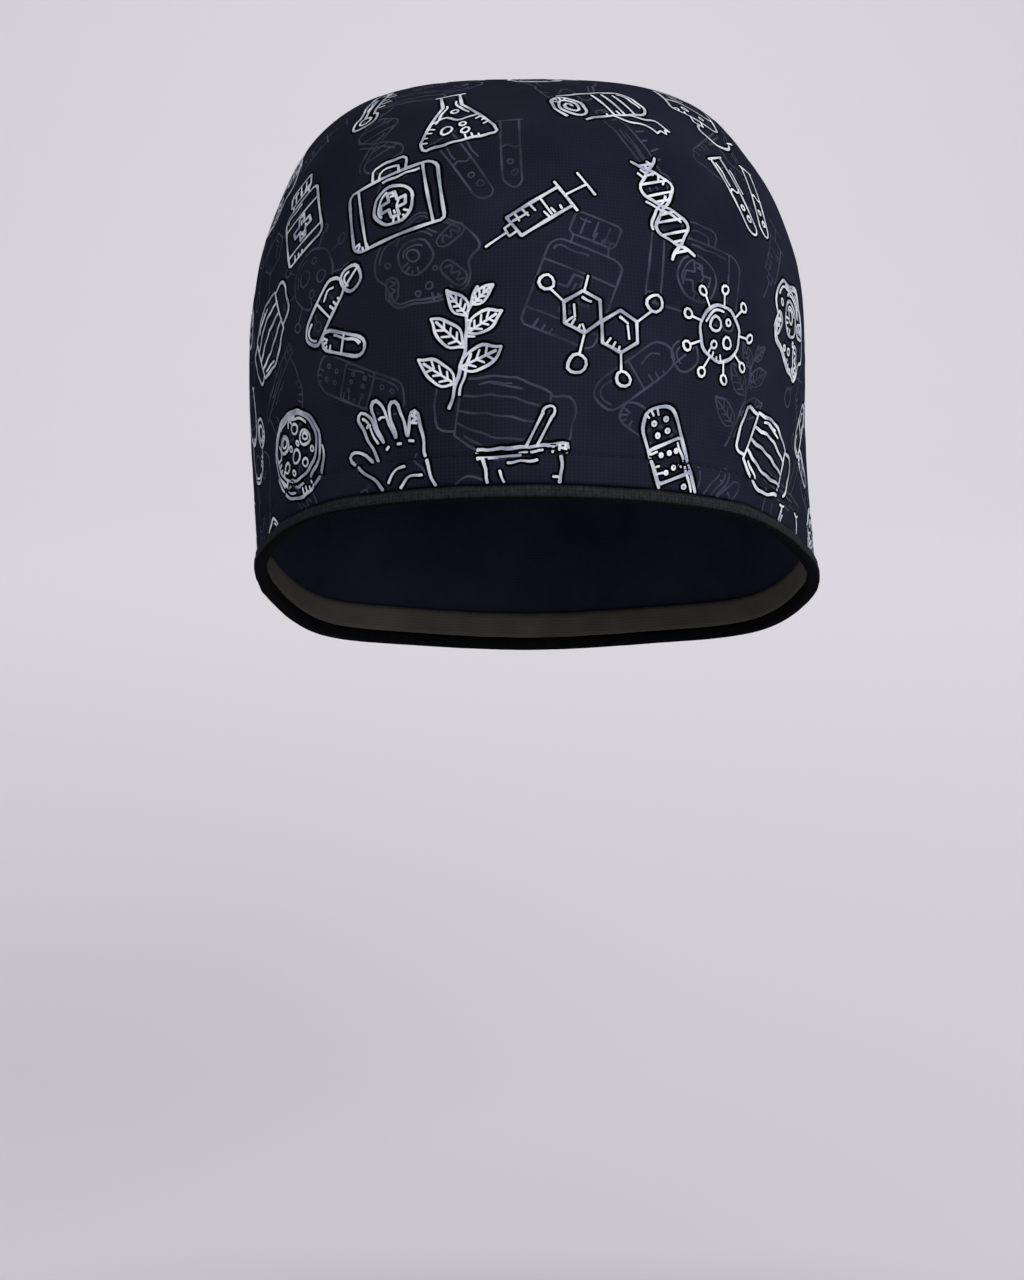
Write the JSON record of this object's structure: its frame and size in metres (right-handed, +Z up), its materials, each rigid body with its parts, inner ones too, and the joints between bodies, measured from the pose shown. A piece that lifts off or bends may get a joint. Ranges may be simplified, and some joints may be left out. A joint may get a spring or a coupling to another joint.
{
  "type": "scrub cap",
  "caption": "Printed cloth scrub cap with a folded binding round its rim, in its worn form, open below for a head.",
  "frame": {"origin": "middle of the head opening, level with the lower edge of the rim at the middle of the front", "axes": "+Z up, -Y towards the front of the cap, +X to the right as the front is faced"},
  "size_m": [0.174, 0.2016, 0.1869],
  "materials": {
    "printed_cloth": "dark slate cotton with a white and grey line print",
    "facing_cloth": "plain grey-olive cotton",
    "binding_cloth": "mottled charcoal ribbed tape"
  },
  "bodies": {
    "root": {"front_panel": "printed_cloth", "back_panel": "printed_cloth", "hem_facing": "facing_cloth", "rim_binding": "binding_cloth"}
  },
  "joints": []
}
